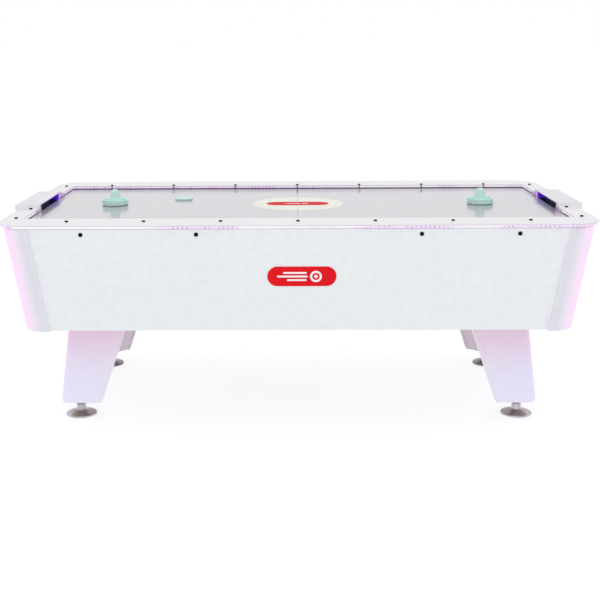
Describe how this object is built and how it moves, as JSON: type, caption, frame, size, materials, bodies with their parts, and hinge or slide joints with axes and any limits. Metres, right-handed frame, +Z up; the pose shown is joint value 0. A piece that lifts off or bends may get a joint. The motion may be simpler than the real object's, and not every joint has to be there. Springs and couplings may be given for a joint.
{
  "type": "air hockey table",
  "caption": "Air hockey table: tapered white cabinet with rounded corner posts, lit rails, raised goal hoods, polished field with blower below, and four tapered legs on round leveling feet.",
  "frame": {"origin": "on the floor, under the centre of the table", "axes": "+X along the table from the left goal to the right goal, +Y from the front side to the rear, +Z up"},
  "size_m": [2.278, 1.31, 0.8713],
  "materials": {
    "white_laminate": "satin white laminate on board",
    "rail_laminate": "white hard laminate, lightly glossy",
    "hood_plastic": "white moulded, satin",
    "leg_laminate": "satin white laminate on board",
    "raw_board": "plain sealed board",
    "field_laminate": "polished pale grey laminate",
    "emblem_cream": "polished, flush with the field",
    "marking_grey": "polished, flush with the field",
    "lit_acrylic": "edge-lit diffusing acrylic",
    "led_tape": "lit",
    "goal_led": "lit",
    "foam_seal": "closed-cell foam",
    "black_screws": "black oxide",
    "black_plastic": "fine moulded",
    "badge_red": "glossy",
    "goal_box_plastic": "moulded",
    "grille_steel": "powder coated",
    "foot_steel": "satin nickel",
    "zinc_steel": "zinc plated",
    "blower_plastic": "moulded",
    "motor_paint": "painted",
    "saddle_foam": "damping",
    "supply_metal": "perforated case",
    "mint_plastic": "moulded, lightly translucent",
    "puck_plastic": "moulded",
    "felt": "pressed felt"
  },
  "bodies": {
    "table": {"front_panel": "white_laminate", "rear_panel": "white_laminate", "left_end_panel": "white_laminate", "right_end_panel": "white_laminate", "front_left_corner_post": "white_laminate", "front_right_corner_post": "white_laminate", "rear_left_corner_post": "white_laminate", "rear_right_corner_post": "white_laminate", "front_rail_cap": "rail_laminate", "rear_rail_cap": "rail_laminate", "left_goal_hood": "hood_plastic", "right_goal_hood": "hood_plastic", "front_left_leg_shell": "leg_laminate", "front_right_leg_shell": "leg_laminate", "rear_left_leg_shell": "leg_laminate", "rear_right_leg_shell": "leg_laminate", "leg_backs": "leg_laminate", "bottom_panel": "raw_board", "chamber_base": "raw_board", "chamber_frame": "raw_board", "rail_beds": "raw_board", "foot_blocks": "raw_board", "field_board": "field_laminate", "centre_emblem": "emblem_cream", "field_markings": "marking_grey", "front_light_guide": "lit_acrylic", "rear_light_guide": "lit_acrylic", "led_strips": "led_tape", "goal_lights": "goal_led", "rail_seals": "foam_seal", "rail_screws": "black_screws", "apron_caps": "black_plastic", "return_bezels": "black_plastic", "inlet_plate": "black_plastic", "power_inlet": "black_plastic", "front_badge": "badge_red", "left_goal_box": "goal_box_plastic", "right_goal_box": "goal_box_plastic", "intake_grille": "grille_steel", "leg_bolts": "zinc_steel", "leg_top_plates": "zinc_steel", "lock_nuts": "zinc_steel", "blower_housing": "blower_plastic", "blower_motor": "motor_paint", "blower_saddle": "saddle_foam", "power_supply": "supply_metal"},
    "impeller": {"blower_impeller": "blower_plastic", "blower_shaft": "zinc_steel"},
    "rocker": {"power_rocker": "black_plastic"},
    "left_striker_body": {"left_striker": "mint_plastic", "left_striker_felt": "felt"},
    "right_striker_body": {"right_striker": "mint_plastic", "right_striker_felt": "felt"},
    "puck_body": {"puck": "puck_plastic"},
    "front_left_leveler_body": {"front_left_leveler": "foot_steel"},
    "front_right_leveler_body": {"front_right_leveler": "foot_steel"},
    "rear_left_leveler_body": {"rear_left_leveler": "foot_steel"},
    "rear_right_leveler_body": {"rear_right_leveler": "foot_steel"}
  },
  "joints": [
    {"name": "impeller_spin", "type": "hinge", "parent": "table", "child": "impeller", "pos_m": [0, 0, 0.56], "axis": [1, 0, 0], "continuous": true},
    {"name": "power_rocker_tilt", "type": "hinge", "parent": "table", "child": "rocker", "pos_m": [-0.673, 0.5943, 0.47036], "axis": [-1, 0, 0], "range_deg": [0, 12]},
    {"name": "left_striker_slide", "type": "slide", "parent": "table", "child": "left_striker_body", "axis": [1, 0, 0], "range_m": [-0.215, 0.66]},
    {"name": "right_striker_slide", "type": "slide", "parent": "table", "child": "right_striker_body", "axis": [1, 0, 0], "range_m": [-0.66, 0.215]},
    {"name": "puck_slide", "type": "slide", "parent": "table", "child": "puck_body", "axis": [1, 0, 0], "range_m": [-0.5, 1.48]},
    {"name": "front_left_leveler_height", "type": "slide", "parent": "table", "child": "front_left_leveler_body", "axis": [0, 0, 1], "range_m": [-0.04, 0.008]},
    {"name": "front_right_leveler_height", "type": "slide", "parent": "table", "child": "front_right_leveler_body", "axis": [0, 0, 1], "range_m": [-0.04, 0.008]},
    {"name": "rear_left_leveler_height", "type": "slide", "parent": "table", "child": "rear_left_leveler_body", "axis": [0, 0, 1], "range_m": [-0.04, 0.008]},
    {"name": "rear_right_leveler_height", "type": "slide", "parent": "table", "child": "rear_right_leveler_body", "axis": [0, 0, 1], "range_m": [-0.04, 0.008]}
  ]
}
